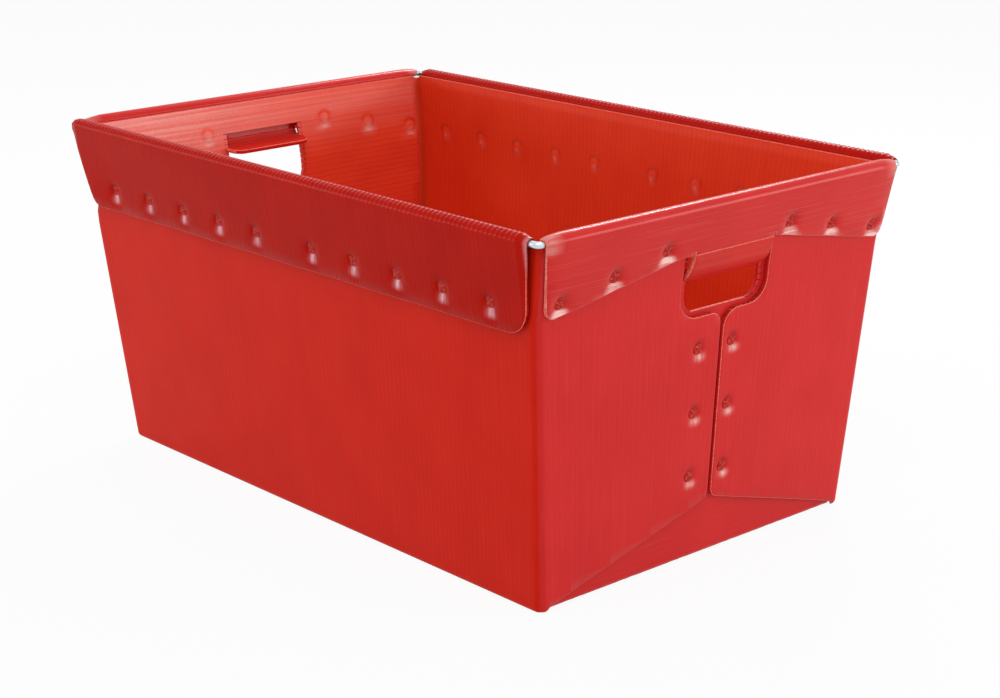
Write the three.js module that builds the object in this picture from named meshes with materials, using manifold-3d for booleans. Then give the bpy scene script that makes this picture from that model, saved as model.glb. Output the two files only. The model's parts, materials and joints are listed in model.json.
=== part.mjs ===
// Nestable rim-wire tote folded from one scored blank of twin-wall plastic sheet.
//
// Frame: +X along the tote's length, +Y across it, +Z up, millimetres.
// The origin is the centre of the underside. +X is the right end, -Y is the front side.
//
// The blank folds up into a floor, two long walls and two end panels. Each long wall runs on round
// its corners as a corner flap, and the two flaps of an end meet outside the end panel at a slit.
// All four top edges turn outward over a steel wire and come down as hems, which are spot welded.
// At each end the hem runs on into a grip tongue, which hinges inward through the hand hole.

import * as THREE from 'three';
import { mergeVertices } from 'three/addons/utils/BufferGeometryUtils.js';
import Module from 'manifold-3d';

const wasm = await Module();
wasm.setup();

// ---- Sheet, wire and clearances ---------------------------------------------------------------
const SHEET = 3.6; // thickness of the twin-wall sheet
const GAP = 0.3; // clearance between two pieces that lie together
const WIRE_D = 5; // rim wire diameter
const WIRE_BEND = 4; // centre-line radius of the wire's four corners
const WIRE_BUTT = 1; // gap between the wire's two ends, inside the back hem
const WIRE_SIDES = 12; // sides of the wire's round section
const FOLD_R = 8; // outside radius of the upright corner folds
const FOLD_STUB = 2.7; // flat part of a corner flap beside its fold, on the long wall

// ---- Body -------------------------------------------------------------------------------------
const BASE_LENGTH = 521.6; // floor, from end fold to end fold
const BASE_WIDTH = 328; // floor, from side fold to side fold
const RIM_LENGTH = 580; // rim wire's centre lines, end to end
const RIM_WIDTH = 375.4; // rim wire's centre lines, side to side
const RIM_HEIGHT = 280; // rim wire's centre line above the underside
const END_FLARE = 10.4; // how much further out an end panel stands at the rim than at its crease
const SIDE_FLARE = 3.9; // the same for a long wall

// ---- Hems -------------------------------------------------------------------------------------
// At two opposite corners the wire shows between the hems. At the other two the long hem runs on
// to cover it: its far end. So each hem has a near end and a far end, which differ.
const SIDE_HEM_DEPTH = 67; // wire centre down to the long hem's lower edge
const SIDE_HEM_NEAR = 8; // wire corner back to the long hem's near end, at the rim
const SIDE_HEM_RUN = 0.6; // how far its far end runs onto the wire's bend
const SIDE_HEM_FOOT = 16; // wire corner back to both its ends, at the lower edge
const SIDE_HEM_R = 22; // rounding of its lower corners
const END_HEM_DEPTH = 58.5; // the same sizes for the end hems, at their outer ends
const END_HEM_RUN = 0.2; // its near end runs onto the wire's bend by this much
const END_HEM_SHY = 0.6; // its far end stops short of the long hem by this much
const END_HEM_FOOT = 11.7; // wire corner back to both its ends, at the lower edge
const END_HEM_R = 9;
const END_HEM_RISE = 25.5; // how much the end hem's lower edge climbs towards the hand hole
const END_HEM_MARGIN = 5.6; // its level stretch runs this far past each side of the hand hole
const CREASE_DROP = 1.5; // walls are creased this far below the end hem's lower corners

// ---- Hand holes and grip tongues --------------------------------------------------------------
const HANDLE_SHIFT = 5.4; // hand hole and slit lie this far off the middle of the end
const HOLE_WIDTH = 86.8; // hole in the end panel
const HOLE_HEIGHT = 55.5;
const HOLE_TOP_DROP = 25; // wire centre down to the hole's top edge
const HOLE_R = 14; // rounding of its lower corners
const FLAP_HOLE_MARGIN = 2.8; // the flaps' cut-out is this much wider, each side
const FLAP_HOLE_LOWER = 3.5; // and this much lower
const TONGUE_LENGTH = 29; // hinge line to free edge
const TONGUE_SIDE = 1.4; // clearance to the hole, each side
const TONGUE_R = 11; // rounding of its free corners
const RIGHT_TONGUE_ANGLE = 35; // how far each tongue hangs in from the vertical, degrees
const LEFT_TONGUE_ANGLE = 75;

// ---- Corner flaps -----------------------------------------------------------------------------
const SLIT_WIDTH = 3.4; // between the two flaps of an end
const FLAP_FOOT = 48; // height of the flaps' lower edge at the slit
const FLAP_TOE = 0.6; // height of the same edge above the floor sheet, at the corner fold
const SLIT_TOP_R = 10; // roundings of a flap's corners at the slit
const SLIT_FOOT_R = 9;

// ---- Spot welds -------------------------------------------------------------------------------
const WELD_D = 10; // weld button diameter
const WELD_SINK = 1.1; // button's face below the sheet's face
const WELD_SIDES = 12;
const HEM_WELD_RISE = 10.8; // end-hem welds above the hem's lower edge
const SIDE_WELD_RISE = 18.2; // long-hem welds above the hem's lower edge
const SIDE_WELDS = 5; // welds in each half of a long hem
const SIDE_WELD_START = 35.8; // first weld from the middle
const SIDE_WELD_END = 35.3; // last weld from the end of the hem's lower edge
const END_WELDS = 3; // welds in each half of an end hem
const END_WELD_START = 18.4; // first weld from the hand hole's edge
const END_WELD_END = 12; // last weld from the end of the hem's lower edge
const SLIT_WELDS = 3; // welds down each side of a slit
const SLIT_WELD_OFF = 17.9; // slit welds from the middle of the end
const SLIT_WELD_TOP = 25.2; // first below the hand hole
const SLIT_WELD_FOOT = 22; // last above the flaps' foot

// ---- Colours ----------------------------------------------------------------------------------
const SIDE_RED = 0xc62c1c;
const HEM_RED = 0xb42a1e;
const END_RED = 0xd03432;
const WELD_RED = 0xd8463c;
const WIRE_GREY = 0xb9c6cc;

// ---- Derived places ---------------------------------------------------------------------------
const SEAT = SHEET + GAP; // pitch of two sheets that lie together
const WIRE_CLEAR = WIRE_D / 2 + GAP; // wire centre to the sheet round it
const HEM_REACH = WIRE_CLEAR + SHEET; // wire centre to the outside of a hem
const PANEL_X = BASE_LENGTH / 2; // end panel's outer face at the underside
const WALL_Y = BASE_WIDTH / 2; // long wall's outer face at the underside
const FLAP_X = PANEL_X + SEAT; // corner flap's outer face at the underside
const WIRE_X = RIM_LENGTH / 2;
const WIRE_Y = RIM_WIDTH / 2;
const SIDE_HEM_Z = RIM_HEIGHT - SIDE_HEM_DEPTH;
const END_HEM_Z = RIM_HEIGHT - END_HEM_DEPTH;
const CREASE_Z = END_HEM_Z - CREASE_DROP;
const END_HEM_FLAT = HOLE_WIDTH / 2 + END_HEM_MARGIN; // half width of the end hem's level stretch
const HINGE_Z = END_HEM_Z + END_HEM_RISE;
const HOLE_TOP = RIM_HEIGHT - HOLE_TOP_DROP;
const HOLE_FOOT = HOLE_TOP - HOLE_HEIGHT;
const FLAP_HOLE_FOOT = HOLE_FOOT - FLAP_HOLE_LOWER;
const FLAP_BASE = SHEET + GAP; // corner flaps start above the floor sheet
const FLAP_TOP = RIM_HEIGHT - WIRE_CLEAR; // flaps end under the wire
const FAR = 2 * (RIM_LENGTH + RIM_WIDTH + RIM_HEIGHT); // longer than anything in the tote

// ---- Leaning walls ----------------------------------------------------------------------------

// How far a wall's face has moved out at height z: one slope up to its crease, another to the rim.
function lean(z, creaseZ, creaseLean, rimLean) {
  if (z <= creaseZ) return (creaseLean * z) / creaseZ;
  return creaseLean + ((rimLean - creaseLean) * (z - creaseZ)) / (RIM_HEIGHT - creaseZ);
}
const rimLeanX = WIRE_X - WIRE_CLEAR - PANEL_X;
const rimLeanY = WIRE_Y - WIRE_CLEAR - WALL_Y;
const leanX = (z) => lean(z, CREASE_Z, rimLeanX - END_FLARE, rimLeanX);
const leanY = (z) => lean(z, SIDE_HEM_Z, rimLeanY - SIDE_FLARE, rimLeanY);

// Inner face of an end hem at height z.
const hemFootX = FLAP_X + GAP + leanX(END_HEM_Z);
const hemSlopeX = (WIRE_X + WIRE_CLEAR - hemFootX) / END_HEM_DEPTH;
const hemX = (z) => hemFootX + hemSlopeX * (z - END_HEM_Z);

// The same for a long hem.
const hemFootY = WALL_Y + GAP + leanY(SIDE_HEM_Z);
const hemSlopeY = (WIRE_Y + WIRE_CLEAR - hemFootY) / SIDE_HEM_DEPTH;
const hemY = (z) => hemFootY + hemSlopeY * (z - SIDE_HEM_Z);

// ---- Shapes and solids ------------------------------------------------------------------------

// Closed outline through points [x, y], or [x, y, r] for a corner rounded to radius r.
function outline(points, segments = 6) {
  const path = [];
  const count = points.length;
  points.forEach(([x, y, radius = 0], i) => {
    const corner = new THREE.Vector2(x, y);
    if (radius === 0) {
      path.push(corner);
      return;
    }
    const before = new THREE.Vector2(...points[(i + count - 1) % count].slice(0, 2)).sub(corner).normalize();
    const after = new THREE.Vector2(...points[(i + 1) % count].slice(0, 2)).sub(corner).normalize();
    const half = Math.acos(THREE.MathUtils.clamp(before.dot(after), -1, 1)) / 2;
    const middle = before.clone().add(after).normalize();
    const centre = corner.clone().addScaledVector(middle, radius / Math.sin(half));
    const start = corner.clone().addScaledVector(before, radius / Math.tan(half)).sub(centre);
    const end = corner.clone().addScaledVector(after, radius / Math.tan(half)).sub(centre);
    const from = start.angle();
    const turn = THREE.MathUtils.euclideanModulo(end.angle() - from + Math.PI, 2 * Math.PI) - Math.PI;
    for (let k = 0; k <= segments; k += 1) {
      const angle = from + (turn * k) / segments;
      path.push(new THREE.Vector2(Math.cos(angle), Math.sin(angle)).multiplyScalar(radius).add(centre));
    }
  });
  return new THREE.Shape(path);
}

// Points of an arc about [cx, cy], from one angle to another in degrees.
function arc(cx, cy, radius, from, to, segments = 8) {
  return Array.from({ length: segments + 1 }, (_, i) => {
    const angle = THREE.MathUtils.degToRad(from + ((to - from) * i) / segments);
    return [cx + radius * Math.cos(angle), cy + radius * Math.sin(angle)];
  });
}

// Sweeps a shape through stations, each of which puts the shape's point (x, y) somewhere in space.
function sweep(shape, stations) {
  const steps = stations.length - 1;
  const geometry = new THREE.ExtrudeGeometry(shape, { depth: steps, steps, bevelEnabled: false });
  const place = geometry.attributes.position;
  for (let i = 0; i < place.count; i += 1) {
    const point = stations[Math.round(place.getZ(i))](place.getX(i), place.getY(i));
    place.setXYZ(i, ...point);
  }
  return solid(geometry);
}

// Raises a plan outline through heights, leaning outward with the walls as it goes.
function raise(shape, heights) {
  return sweep(shape, heights.map((z) => (x, y) => [
    x + Math.sign(x) * leanX(z),
    y + Math.sign(y) * leanY(z),
    z,
  ]));
}

// Prism of an outline in the Y-Z plane, from one x to another.
function prismX(shape, from, to) {
  return sweep(shape, [(y, z) => [from, y, z], (y, z) => [to, y, z]]);
}

// Prism of an outline in the X-Z plane, from one y to another (from above to).
function prismY(shape, from, to) {
  return sweep(shape, [(x, z) => [x, from, z], (x, z) => [x, to, z]]);
}

function solid(geometry) {
  geometry.deleteAttribute('normal');
  geometry.deleteAttribute('uv');
  const merged = mergeVertices(geometry, 1e-4);
  return new wasm.Manifold(new wasm.Mesh({
    numProp: 3,
    vertProperties: new Float32Array(merged.attributes.position.array),
    triVerts: new Uint32Array(merged.index.array),
  }));
}

function toGeometry(manifold) {
  const mesh = manifold.getMesh();
  const geometry = new THREE.BufferGeometry();
  geometry.setAttribute('position', new THREE.BufferAttribute(new Float32Array(mesh.vertProperties), 3));
  geometry.setIndex(new THREE.BufferAttribute(new Uint32Array(mesh.triVerts), 1));
  geometry.computeVertexNormals();
  return geometry;
}

// Heights at which a wall's loft needs a ring.
const wallHeights = (from, to) => [from, ...[SIDE_HEM_Z, CREASE_Z].sort((a, b) => a - b), to];

// ---- Weld places ------------------------------------------------------------------------------

// Evenly spaced places from first to last, count of them.
const spread = (first, last, count) =>
  Array.from({ length: count }, (_, i) => first + ((last - first) * i) / (count - 1));
const bothSides = (places) => [...places.map((v) => -v).reverse(), ...places];

// Lower edge of an end hem at distance y from the middle.
function endHemEdge(y) {
  const outer = WIRE_Y - END_HEM_FOOT;
  const climb = (outer - Math.abs(y)) / (outer - END_HEM_FLAT);
  return END_HEM_Z + END_HEM_RISE * THREE.MathUtils.clamp(climb, 0, 1);
}

const sideWeldXs = bothSides(
  spread(SIDE_WELD_START, WIRE_X - SIDE_HEM_FOOT - SIDE_WELD_END, SIDE_WELDS));
const sideWeldZ = SIDE_HEM_Z + SIDE_WELD_RISE;
const endWeldYs = bothSides(
  spread(HOLE_WIDTH / 2 + FLAP_HOLE_MARGIN + END_WELD_START, WIRE_Y - END_HEM_FOOT - END_WELD_END, END_WELDS));
const slitWeldZs = spread(FLAP_HOLE_FOOT - SLIT_WELD_TOP, FLAP_FOOT + SLIT_WELD_FOOT, SLIT_WELDS);

// Weld buttons stand along X or Y. Each is a short cylinder from its seat to its sunk face.
function button(radius, axis, centre, from, to) {
  const geometry = new THREE.CylinderGeometry(radius, radius, to - from, WELD_SIDES);
  const middle = (from + to) / 2;
  if (axis === 'x') {
    geometry.rotateZ(Math.PI / 2);
    geometry.translate(middle, ...centre);
  } else {
    geometry.translate(centre[0], middle, centre[1]);
  }
  return solid(geometry);
}

// The same place bored right through the sheet that the button fills.
const bore = (axis, centre, from, to) => button(WELD_D / 2 + GAP, axis, centre, from, to);

// ---- Panels -----------------------------------------------------------------------------------

// Floor sheet, between the feet of the four walls.
function basePanel() {
  const [x, y] = [PANEL_X - SEAT, WALL_Y - SEAT];
  const shape = outline([[-x, -y], [x, -y], [x, y], [-x, y]]);
  return raise(shape, [0, SHEET]);
}

// Long wall on the -Y side, between its two corner flaps.
function sideWall() {
  const half = FLAP_X - FOLD_R - FOLD_STUB - GAP;
  const shape = outline([
    [-half, -WALL_Y], [half, -WALL_Y], [half, -WALL_Y + SHEET], [-half, -WALL_Y + SHEET],
  ]);
  return raise(shape, wallHeights(0, RIM_HEIGHT - GAP));
}

// Outline of the hand hole in the end panel, or of the flaps' wider cut-out round it.
function holeOutline(margin, foot) {
  const half = HOLE_WIDTH / 2 + margin;
  const radius = HOLE_R + margin;
  return outline([
    [HANDLE_SHIFT - half, foot, radius],
    [HANDLE_SHIFT + half, foot, radius],
    [HANDLE_SHIFT + half, HOLE_TOP],
    [HANDLE_SHIFT - half, HOLE_TOP],
  ]);
}

// End panel at the +X end, inside the corner flaps and clear of their folds.
function endPanel() {
  const half = WALL_Y - FOLD_R - GAP;
  const shape = outline([
    [PANEL_X - SHEET, -half], [PANEL_X, -half], [PANEL_X, half], [PANEL_X - SHEET, half],
  ]);
  const hole = prismX(holeOutline(0, HOLE_FOOT), 0, FAR);
  return raise(shape, wallHeights(0, RIM_HEIGHT - GAP)).subtract(hole);
}

// Corner flap at the +X end, on the side given by the sign: -1 front, +1 back.
function cornerFlap(side) {
  const inner = FOLD_R - SHEET;
  const [cx, cy] = [FLAP_X - FOLD_R, WALL_Y - FOLD_R];
  const slit = HANDLE_SHIFT + (side * SLIT_WIDTH) / 2;
  const edge = side * slit; // distance of the slit's edge from the middle, on the flap's side
  const plan = [
    [cx - FOLD_STUB, WALL_Y],
    ...arc(cx, cy, FOLD_R, 90, 0, 6),
    [FLAP_X, edge - FOLD_R],
    [FLAP_X - SHEET, edge - FOLD_R],
    ...arc(cx, cy, inner, 0, 90, 6),
    [cx - FOLD_STUB, WALL_Y - SHEET],
  ].map(([x, y]) => [x, side * y]);
  const blank = sweep(outline(plan), wallHeights(FLAP_BASE, FLAP_TOP).map((z) => (x, y) => [
    x + leanX(z),
    // Only the corner leans sideways: the slit's end of the flap stays where the slit is.
    y + (Math.abs(y) > cy - 1 ? side * leanY(z) : 0),
    z,
  ]));
  // Face of the flap seen along X: corner, slit, hand hole and the sloping lower edge.
  const holeEdge = side * (HANDLE_SHIFT + side * (HOLE_WIDTH / 2 + FLAP_HOLE_MARGIN));
  const toe = FLAP_BASE + FLAP_TOE;
  const face = [
    [FAR, toe],
    [WALL_Y, toe],
    [edge, FLAP_FOOT, SLIT_FOOT_R],
    [edge, FLAP_HOLE_FOOT, SLIT_TOP_R],
    [holeEdge, FLAP_HOLE_FOOT, HOLE_R + FLAP_HOLE_MARGIN],
    [holeEdge, HOLE_TOP],
    [edge, HOLE_TOP],
    [edge, FAR],
    [FAR, FAR],
  ].map(([y, z, r]) => [side * y, z, r]);
  let flap = blank.intersect(prismX(outline(face), 0, FAR));
  for (const z of slitWeldZs) {
    flap = flap.subtract(bore('x', [side * SLIT_WELD_OFF, z], 0, FAR));
  }
  return flap;
}

// ---- Hems -------------------------------------------------------------------------------------

// Hem section across the rim: round the wire at [w, RIM_HEIGHT], then down a straight leg.
// u runs outward from the middle of the tote. foot is the inner face's u at height footZ.
function hemSection(w, foot, footZ) {
  return outline([
    ...arc(w, RIM_HEIGHT, WIRE_CLEAR, 180, 0, 8),
    [foot, footZ],
    [foot + SHEET, footZ],
    ...arc(w, RIM_HEIGHT, HEM_REACH, 0, 180, 8),
  ]);
}

// Long hem on the -Y side.
function sideHem() {
  const section = hemSection(WIRE_Y, hemFootY, SIDE_HEM_Z);
  const bar = sweep(section, [(u, z) => [WIRE_X, -u, z], (u, z) => [-WIRE_X, -u, z]]);
  const near = WIRE_X - SIDE_HEM_NEAR;
  const far = WIRE_X - WIRE_BEND + SIDE_HEM_RUN;
  const foot = WIRE_X - SIDE_HEM_FOOT;
  const shoulder = RIM_HEIGHT - WIRE_CLEAR;
  const face = outline([
    [-far, FAR], [-far, shoulder], [-foot, SIDE_HEM_Z, SIDE_HEM_R],
    [foot, SIDE_HEM_Z, SIDE_HEM_R], [near, shoulder], [near, FAR],
  ]);
  let hem = bar.intersect(prismY(face, 0, -FAR));
  for (const x of sideWeldXs) {
    hem = hem.subtract(bore('y', [x, sideWeldZ], -FAR, -WALL_Y));
  }
  return hem;
}

// End hem at the +X end. Its lower edge climbs to the hinge line of the grip tongue.
function endHem() {
  const section = hemSection(WIRE_X, hemFootX, END_HEM_Z);
  const bar = sweep(section, [(u, z) => [u, WIRE_Y, z], (u, z) => [u, -WIRE_Y, z]]);
  const near = WIRE_Y - WIRE_BEND + END_HEM_RUN;
  const far = WIRE_Y - HEM_REACH - END_HEM_SHY;
  const foot = WIRE_Y - END_HEM_FOOT;
  const shoulder = RIM_HEIGHT - WIRE_CLEAR;
  const face = outline([
    [-near, FAR], [-near, shoulder], [-foot, END_HEM_Z, END_HEM_R],
    [-END_HEM_FLAT, HINGE_Z], [END_HEM_FLAT, HINGE_Z],
    [foot, END_HEM_Z, END_HEM_R], [far, shoulder], [far, FAR],
  ]);
  let hem = bar.intersect(prismX(face, 0, FAR));
  for (const y of endWeldYs) {
    hem = hem.subtract(bore('x', [y, endHemEdge(y) + HEM_WELD_RISE], 0, FAR));
  }
  return hem;
}

// Grip tongue at the +X end, hanging inward at the given angle from the vertical.
// Its inner face passes through the hinge line at the foot of the hem's inner face.
function gripTongue(angle) {
  const half = HOLE_WIDTH / 2 - TONGUE_SIDE;
  const face = outline([
    [-half, -GAP], [-half, -TONGUE_LENGTH, TONGUE_R],
    [half, -TONGUE_LENGTH, TONGUE_R], [half, -GAP],
  ]);
  const slab = new THREE.ExtrudeGeometry(face, { depth: SHEET, bevelEnabled: false });
  slab.rotateX(Math.PI / 2);
  slab.rotateZ(Math.PI / 2);
  slab.rotateY(THREE.MathUtils.degToRad(angle));
  return toGeometry(solid(slab));
}

// ---- Rim wire ---------------------------------------------------------------------------------

// One closed rectangle of round wire, butted in the middle of the back side.
function rimWire() {
  const [x, y, r] = [WIRE_X - WIRE_BEND, WIRE_Y - WIRE_BEND, WIRE_BEND];
  const start = WIRE_BUTT / 2;
  const route = [
    { at: [start, WIRE_Y], heading: 0 },
    ...arc(x, y, r, 90, 0, 6).map((at, i) => ({ at, heading: -15 * i })),
    ...arc(x, -y, r, 0, -90, 6).map((at, i) => ({ at, heading: -90 - 15 * i })),
    ...arc(-x, -y, r, -90, -180, 6).map((at, i) => ({ at, heading: -180 - 15 * i })),
    ...arc(-x, y, r, 180, 90, 6).map((at, i) => ({ at, heading: -270 - 15 * i })),
    { at: [-start, WIRE_Y], heading: -360 },
  ];
  const section = outline(arc(0, 0, WIRE_D / 2, 0, 360 - 360 / WIRE_SIDES, WIRE_SIDES - 1));
  return sweep(section, route.map(({ at, heading }) => {
    const angle = THREE.MathUtils.degToRad(heading);
    const left = [-Math.sin(angle), Math.cos(angle)];
    return (u, v) => [at[0] + u * left[0], at[1] + u * left[1], RIM_HEIGHT + v];
  }));
}

// ---- Assembly ---------------------------------------------------------------------------------

const tote = new THREE.Group();
const plastic = (color) => new THREE.MeshStandardMaterial({ color, roughness: 0.38, metalness: 0 });
const steel = () => new THREE.MeshStandardMaterial({ color: WIRE_GREY, roughness: 0.3, metalness: 1 });

function add(name, piece, material, parent = tote) {
  const geometry = piece.isBufferGeometry ? piece : toGeometry(piece);
  const mesh = new THREE.Mesh(geometry, material);
  mesh.name = name;
  parent.add(mesh);
  return mesh;
}

add('base_panel', basePanel(), plastic(SIDE_RED));
add('rim_wire', rimWire(), steel());

// The tote is the same turned half round, so each side and end is built once and turned.
const halves = [
  { turn: 0, side: 'front', end: 'right', tongueAngle: RIGHT_TONGUE_ANGLE },
  { turn: Math.PI, side: 'back', end: 'left', tongueAngle: LEFT_TONGUE_ANGLE },
];
for (const { turn, side, end, tongueAngle } of halves) {
  const half = new THREE.Group();
  half.rotation.z = turn;
  tote.add(half);
  const otherSide = side === 'front' ? 'back' : 'front';

  add(`${side}_wall_panel`, sideWall(), plastic(SIDE_RED), half);
  add(`${end}_end_panel`, endPanel(), plastic(END_RED), half);
  add(`${side}_${end}_corner_flap`, cornerFlap(-1), plastic(END_RED), half);
  add(`${otherSide}_${end}_corner_flap`, cornerFlap(1), plastic(END_RED), half);
  add(`${side}_rim_hem`, sideHem(), plastic(HEM_RED), half);
  add(`${end}_rim_hem`, endHem(), plastic(END_RED), half);

  const tongue = add(`${end}_grip_tongue`, gripTongue(tongueAngle), plastic(END_RED), half);
  tongue.position.set(hemX(HINGE_Z), HANDLE_SHIFT, HINGE_Z);

  sideWeldXs.forEach((x, i) => {
    const seat = WALL_Y + leanY(sideWeldZ + WELD_D / 2) + GAP;
    const face = hemY(sideWeldZ - WELD_D / 2) + SHEET - WELD_SINK;
    const weld = button(WELD_D / 2, 'y', [x, sideWeldZ], -face, -seat);
    add(`${side}_hem_weld_${i + 1}`, weld, plastic(WELD_RED), half);
  });
  endWeldYs.forEach((y, i) => {
    const z = endHemEdge(y) + HEM_WELD_RISE;
    const seat = FLAP_X + leanX(z + WELD_D / 2) + GAP;
    const face = hemX(z - WELD_D / 2) + SHEET - WELD_SINK;
    const weld = button(WELD_D / 2, 'x', [y, z], seat, face);
    add(`${end}_hem_weld_${i + 1}`, weld, plastic(WELD_RED), half);
  });
  [-1, 1].forEach((sign) => slitWeldZs.forEach((z, i) => {
    const seat = PANEL_X + leanX(z + WELD_D / 2) + GAP;
    const face = FLAP_X + leanX(z - WELD_D / 2) - WELD_SINK;
    const weld = button(WELD_D / 2, 'x', [sign * SLIT_WELD_OFF, z], seat, face);
    const row = sign < 0 ? 'a' : 'b';
    add(`${end}_slit_weld_${row}${i + 1}`, weld, plastic(WELD_RED), half);
  }));
}

export default tote;
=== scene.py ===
import json
import math

import bpy
import numpy as np
from mathutils import Matrix, Vector
from mathutils.geometry import delaunay_2d_cdt


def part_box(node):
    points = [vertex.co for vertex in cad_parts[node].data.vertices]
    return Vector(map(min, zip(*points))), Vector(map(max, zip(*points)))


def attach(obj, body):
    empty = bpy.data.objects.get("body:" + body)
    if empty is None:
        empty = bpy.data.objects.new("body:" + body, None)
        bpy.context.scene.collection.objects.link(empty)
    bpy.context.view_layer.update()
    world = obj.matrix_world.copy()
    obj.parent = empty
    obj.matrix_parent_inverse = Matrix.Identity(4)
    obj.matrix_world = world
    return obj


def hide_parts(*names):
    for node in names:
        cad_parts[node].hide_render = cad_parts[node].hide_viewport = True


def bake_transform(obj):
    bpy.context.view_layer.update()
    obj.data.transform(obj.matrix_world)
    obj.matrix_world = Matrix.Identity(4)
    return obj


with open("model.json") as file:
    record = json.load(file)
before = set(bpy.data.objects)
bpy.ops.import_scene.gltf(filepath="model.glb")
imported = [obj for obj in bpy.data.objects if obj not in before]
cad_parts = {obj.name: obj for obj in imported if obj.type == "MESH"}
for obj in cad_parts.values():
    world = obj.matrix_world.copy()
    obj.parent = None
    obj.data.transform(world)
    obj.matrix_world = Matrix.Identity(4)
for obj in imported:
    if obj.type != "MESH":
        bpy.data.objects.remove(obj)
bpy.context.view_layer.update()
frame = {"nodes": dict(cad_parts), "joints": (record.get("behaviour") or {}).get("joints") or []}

# Open nestable tote folded from red twin-wall plastic sheet, with hems over a rim wire, spot welds
# and a hand hole with a grip tongue in each end. Lengths are millimetres until a mesh is made.

MM = 0.001
RANDOM = np.random.default_rng(7)


def corners(node):
    """Lowest and highest corner of a CAD node, in millimetres."""
    low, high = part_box(node)
    return np.array(low) / MM, np.array(high) / MM


# ---- Sizes, read from the frame ----------------------------------------------------------------
wire_low, wire_high = corners("rim_wire")
WIRE_R = (wire_high[2] - wire_low[2]) / 2
RIM_Z = wire_high[2] - WIRE_R
WIRE_X = wire_high[0] - WIRE_R
WIRE_Y = wire_high[1] - WIRE_R
SHEET = corners("base_panel")[1][2]
GAP = 0.3  # between layers that lie on each other
PANEL_X = corners("right_end_panel")[0][0] + SHEET
WALL_Y = SHEET - corners("front_wall_panel")[1][1]
FLAP_X = PANEL_X + SHEET + GAP
END_HEM_Z = corners("right_rim_hem")[0][2]
SIDE_HEM_Z = corners("front_rim_hem")[0][2]
hinge = next(j for j in frame["joints"] if j["name"] == "right_tongue_hinge")
HINGE_X, HANDLE_Y, HINGE_Z = (v / MM for v in hinge["pos_m"])

# ---- Sizes of folds, hems, holes and flutes ----------------------------------------------------
WIRE_CLEAR = WIRE_R + GAP
END_CREASE = END_HEM_Z - 1.5  # height at which an end panel bends
END_LEAN = 16.0  # how far an end panel leans outward by its crease
SIDE_LEAN = 17.0  # how far a long wall leans outward by the foot of its hem
FOLD_R = 8.0  # outside of the upright corner folds
FLOOR_FOLD_R = 4.0  # outside of the folds round the floor
PITCH = 4.8  # from rib to rib
RIB = 0.5  # thickness of a rib
HOLE_HALF = 43.4  # half the width of a hand hole
HOLE_FOOT = 199.5
HOLE_TOP = 255.0
HOLE_R = 14.0
FLAP_MARGIN = 2.8  # how much further out the flaps are cut than the hand hole
FLAP_LOWER = 3.5  # and how much further down
SLIT_HALF = 1.7  # half the slit between two flaps
FLAP_FOOT = 48.0  # foot of the flaps at the slit
TONGUE_GAP = 1.4  # from a grip tongue to each side of its hole
END_HEM_FLAT = 49.0  # half the level stretch of an end hem's edge
BEVEL = 0.4  # rounding where a skin meets a cut edge
MOUTH_DEPTH = 4.0  # how deep an open flute is made
SAG = 0.07  # how far a skin sinks between two ribs
CORE_DEPTH = 0.8  # how far a weld's punched core lies below its dent

# ---- Spacing of the sheets' points -------------------------------------------------------------
ROW = 1.2  # along the flutes, where a skin is shaped
BEND_ROW = 0.6  # where a sheet bends
EDGE_STEP = 6.0  # longest step of an outline along the flutes
CROSSING = 0.3  # share of an edge across the flutes from which it cuts them open
NEAREST_CUT = 0.02  # least distance from a rib's cut to an outline's corner
FOOT_ROWS = np.arange(0.9, 5.5, BEND_ROW)  # round the folds at the floor
SHARP_ANGLE = 50
SKIN, CUT, FLAP_SKIN = 0, 1, 2  # material slots of a sheet
HALF_TURN = np.array([-1, -1, 1])  # turns a point half round the upright axis


def lean(z, crease, at_crease, at_rim):
    """How far a wall has moved outward at height z."""
    low = at_crease * z / crease
    high = at_crease + (at_rim - at_crease) * (z - crease) / (RIM_Z - crease)
    return np.where(z <= crease, low, high)


def lean_x(z):
    return lean(z, END_CREASE, END_LEAN, WIRE_X - WIRE_CLEAR - PANEL_X)


def lean_y(z):
    return lean(z, SIDE_HEM_Z, SIDE_LEAN, WIRE_Y - WIRE_CLEAR - WALL_Y)


def smooth(t):
    t = np.clip(t, 0, 1)
    return t * t * (3 - 2 * t)


# ---- Outlines ----------------------------------------------------------------------------------

def rounded(points, step=1.0):
    """Closed outline through (a, l) corners, each with an optional radius."""
    made = []
    count = len(points)
    for i, point in enumerate(points):
        corner = np.array(point[:2], float)
        radius = point[2] if len(point) > 2 else 0
        if not radius:
            made.append(corner)
            continue
        before = np.array(points[i - 1][:2], float) - corner
        after = np.array(points[(i + 1) % count][:2], float) - corner
        before /= np.linalg.norm(before)
        after /= np.linalg.norm(after)
        half = math.acos(np.clip(before @ after, -1, 1)) / 2
        middle = before + after
        middle /= np.linalg.norm(middle)
        centre = corner + middle * radius / math.sin(half)
        start = corner + before * radius / math.tan(half) - centre
        end = corner + after * radius / math.tan(half) - centre
        begin = math.atan2(start[1], start[0])
        turn = (math.atan2(end[1], end[0]) - begin + math.pi) % (2 * math.pi) - math.pi
        pieces = max(3, round(abs(turn) * radius / step))
        for k in range(pieces + 1):
            angle = begin + turn * k / pieces
            made.append(centre + radius * np.array([math.cos(angle), math.sin(angle)]))
    return np.array(made)


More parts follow.
